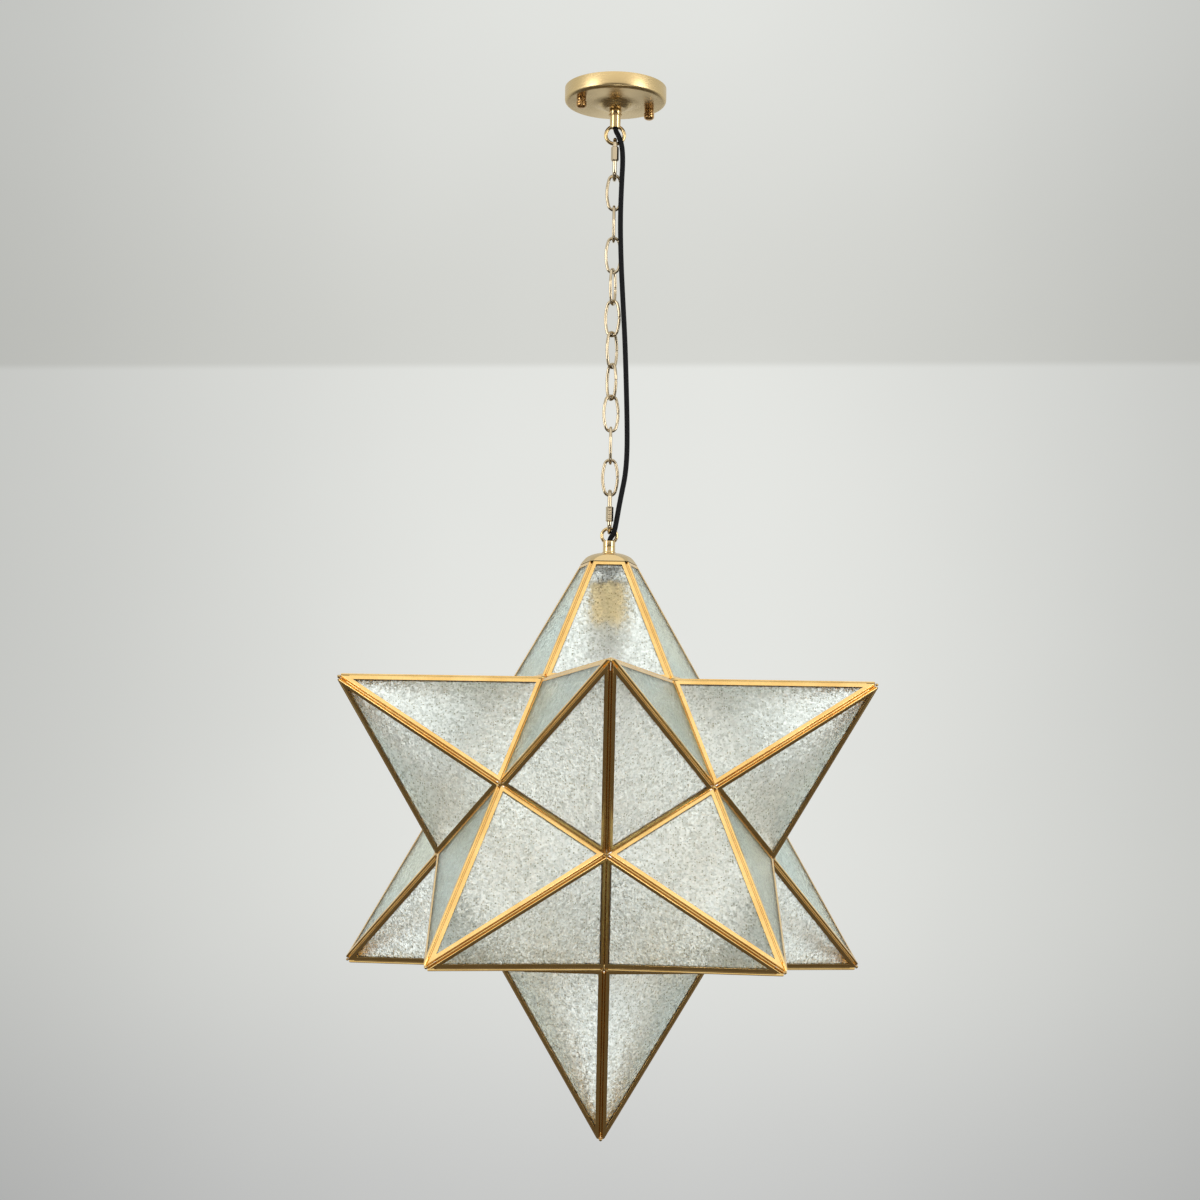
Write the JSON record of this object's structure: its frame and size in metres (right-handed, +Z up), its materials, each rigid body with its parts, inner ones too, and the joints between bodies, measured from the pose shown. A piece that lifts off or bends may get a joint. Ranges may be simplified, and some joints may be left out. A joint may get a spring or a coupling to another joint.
{
  "type": "moravian star pendant light",
  "caption": "Twelve-pointed glass star pendant light in brass came, hung from a round ceiling canopy by an oval-link chain with two quick links and a slack cord",
  "frame": {"origin": "centre of the ceiling face of the canopy, where its rim and bracket meet the ceiling", "axes": "+Z up out of the ceiling face, along the hanging axis; -Y towards the viewer of the picture; +X to the viewer's right"},
  "size_m": [0.499, 0.5234, 1.0165],
  "materials": {
    "satin_brass": "satin, finely brushed, clear lacquered",
    "polished_brass": "polished, lightly toned",
    "came_brass": "polished brass came, darker in its grooves",
    "aged_solder": "soldered, brass plated, darkened",
    "seeded_glass": "clear, seeded and finely pitted, faint iridescence",
    "zinc_steel": "zinc plated",
    "porcelain": "glazed white porcelain",
    "shell_brass": "plain stamped brass",
    "terminal_plastic": "matte moulded",
    "cord_black": "soft matte black sheath",
    "core_insulation": "smooth insulated cores"
  },
  "bodies": {
    "canopy": {"ceiling_bracket": "zinc_steel", "canopy_studs": "zinc_steel", "canopy_cover": "satin_brass", "cap_nuts": "polished_brass", "canopy_nipple": "zinc_steel", "canopy_locknut": "zinc_steel", "canopy_loop": "satin_brass", "terminal_block": "terminal_plastic", "canopy_leads": "core_insulation", "power_cord": "cord_black"},
    "quick_link_top": {"quick_link_top": "polished_brass"},
    "quick_link_top_sleeve": {"quick_link_top_sleeve": "polished_brass"},
    "chain_link_01": {"chain_link_01": "polished_brass"},
    "chain_link_02": {"chain_link_02": "polished_brass"},
    "chain_link_03": {"chain_link_03": "polished_brass"},
    "chain_link_04": {"chain_link_04": "polished_brass"},
    "chain_link_05": {"chain_link_05": "polished_brass"},
    "chain_link_06": {"chain_link_06": "polished_brass"},
    "chain_link_07": {"chain_link_07": "polished_brass"},
    "chain_link_08": {"chain_link_08": "polished_brass"},
    "chain_link_09": {"chain_link_09": "polished_brass"},
    "chain_link_10": {"chain_link_10": "polished_brass"},
    "quick_link_bottom": {"quick_link_bottom": "polished_brass"},
    "quick_link_bottom_sleeve": {"quick_link_bottom_sleeve": "polished_brass"},
    "star": {"star_loop": "satin_brass", "top_cap": "satin_brass", "star_nipple": "zinc_steel", "top_spider": "zinc_steel", "spider_nut": "zinc_steel", "holder_cup": "satin_brass", "lamp_holder": "porcelain", "screw_shell": "shell_brass", "centre_contact": "shell_brass", "holder_leads": "core_insulation", "glass_top": "seeded_glass", "glass_bottom": "seeded_glass", "glass_upper_1": "seeded_glass", "glass_upper_2": "seeded_glass", "glass_upper_3": "seeded_glass", "glass_upper_4": "seeded_glass", "glass_upper_5": "seeded_glass", "glass_lower_1": "seeded_glass", "glass_lower_2": "seeded_glass", "glass_lower_3": "seeded_glass", "glass_lower_4": "seeded_glass", "glass_lower_5": "seeded_glass", "came_top": "came_brass", "came_bottom": "came_brass", "came_upper_1": "came_brass", "came_upper_2": "came_brass", "came_upper_3": "came_brass", "came_upper_4": "came_brass", "came_upper_5": "came_brass", "came_lower_1": "came_brass", "came_lower_2": "came_brass", "came_lower_3": "came_brass", "came_lower_4": "came_brass", "came_lower_5": "came_brass", "ridge_beads": "came_brass", "solder_joints": "aged_solder"}
  },
  "joints": [
    {"name": "quick_link_top_swing", "type": "hinge", "parent": "canopy", "child": "quick_link_top", "pos_m": [0, 0, -0.0564], "axis": [1, 0, 0], "range_deg": [-10, 10], "deforming": ["power_cord"]},
    {"name": "chain_link_01_swing", "type": "hinge", "parent": "quick_link_top", "child": "chain_link_01", "pos_m": [0, 0, -0.0923], "axis": [0, 1, 0], "range_deg": [-10, 10], "deforming": ["power_cord"]},
    {"name": "chain_link_02_swing", "type": "hinge", "parent": "chain_link_01", "child": "chain_link_02", "pos_m": [0, 0, -0.1233], "axis": [1, 0, 0], "range_deg": [-10, 10], "deforming": ["power_cord"]},
    {"name": "chain_link_03_swing", "type": "hinge", "parent": "chain_link_02", "child": "chain_link_03", "pos_m": [0, 0, -0.1548], "axis": [0, 1, 0], "range_deg": [-10, 10], "deforming": ["power_cord"]},
    {"name": "chain_link_04_swing", "type": "hinge", "parent": "chain_link_03", "child": "chain_link_04", "pos_m": [0, 0, -0.1863], "axis": [1, 0, 0], "range_deg": [-10, 10], "deforming": ["power_cord"]},
    {"name": "chain_link_05_swing", "type": "hinge", "parent": "chain_link_04", "child": "chain_link_05", "pos_m": [0, 0, -0.2178], "axis": [0.342, 0.9397, 0], "range_deg": [-10, 10], "deforming": ["power_cord"]},
    {"name": "chain_link_06_swing", "type": "hinge", "parent": "chain_link_05", "child": "chain_link_06", "pos_m": [0, 0, -0.2493], "axis": [0.9272, -0.3746, 0], "range_deg": [-10, 10], "deforming": ["power_cord"]},
    {"name": "chain_link_07_swing", "type": "hinge", "parent": "chain_link_06", "child": "chain_link_07", "pos_m": [0, 0, -0.2808], "axis": [0.6691, 0.7431, 0], "range_deg": [-10, 10], "deforming": ["power_cord"]},
    {"name": "chain_link_08_swing", "type": "hinge", "parent": "chain_link_07", "child": "chain_link_08", "pos_m": [0, 0, -0.3123], "axis": [0.5878, -0.809, 0], "range_deg": [-10, 10], "deforming": ["power_cord"]},
    {"name": "chain_link_09_swing", "type": "hinge", "parent": "chain_link_08", "child": "chain_link_09", "pos_m": [0, 0, -0.3438], "axis": [0.9703, 0.2419, 0], "range_deg": [-10, 10], "deforming": ["power_cord"]},
    {"name": "chain_link_10_swing", "type": "hinge", "parent": "chain_link_09", "child": "chain_link_10", "pos_m": [0, 0, -0.3753], "axis": [0.0175, 0.9998, 0], "range_deg": [-10, 10], "deforming": ["power_cord"]},
    {"name": "quick_link_bottom_swing", "type": "hinge", "parent": "chain_link_10", "child": "quick_link_bottom", "pos_m": [0, 0, -0.4068], "axis": [1, 0, 0], "range_deg": [-10, 10], "deforming": ["power_cord"]},
    {"name": "star_swing", "type": "hinge", "parent": "quick_link_bottom", "child": "star", "pos_m": [0, 0, -0.443], "axis": [0, 1, 0], "range_deg": [-10, 10], "deforming": ["power_cord"]},
    {"name": "top_sleeve_slide", "type": "slide", "parent": "quick_link_top", "child": "quick_link_top_sleeve", "axis": [0, 0, -1], "range_m": [0, 0.0075]},
    {"name": "bottom_sleeve_slide", "type": "slide", "parent": "quick_link_bottom", "child": "quick_link_bottom_sleeve", "axis": [0, 0, 1], "range_m": [0, 0.0065]}
  ]
}
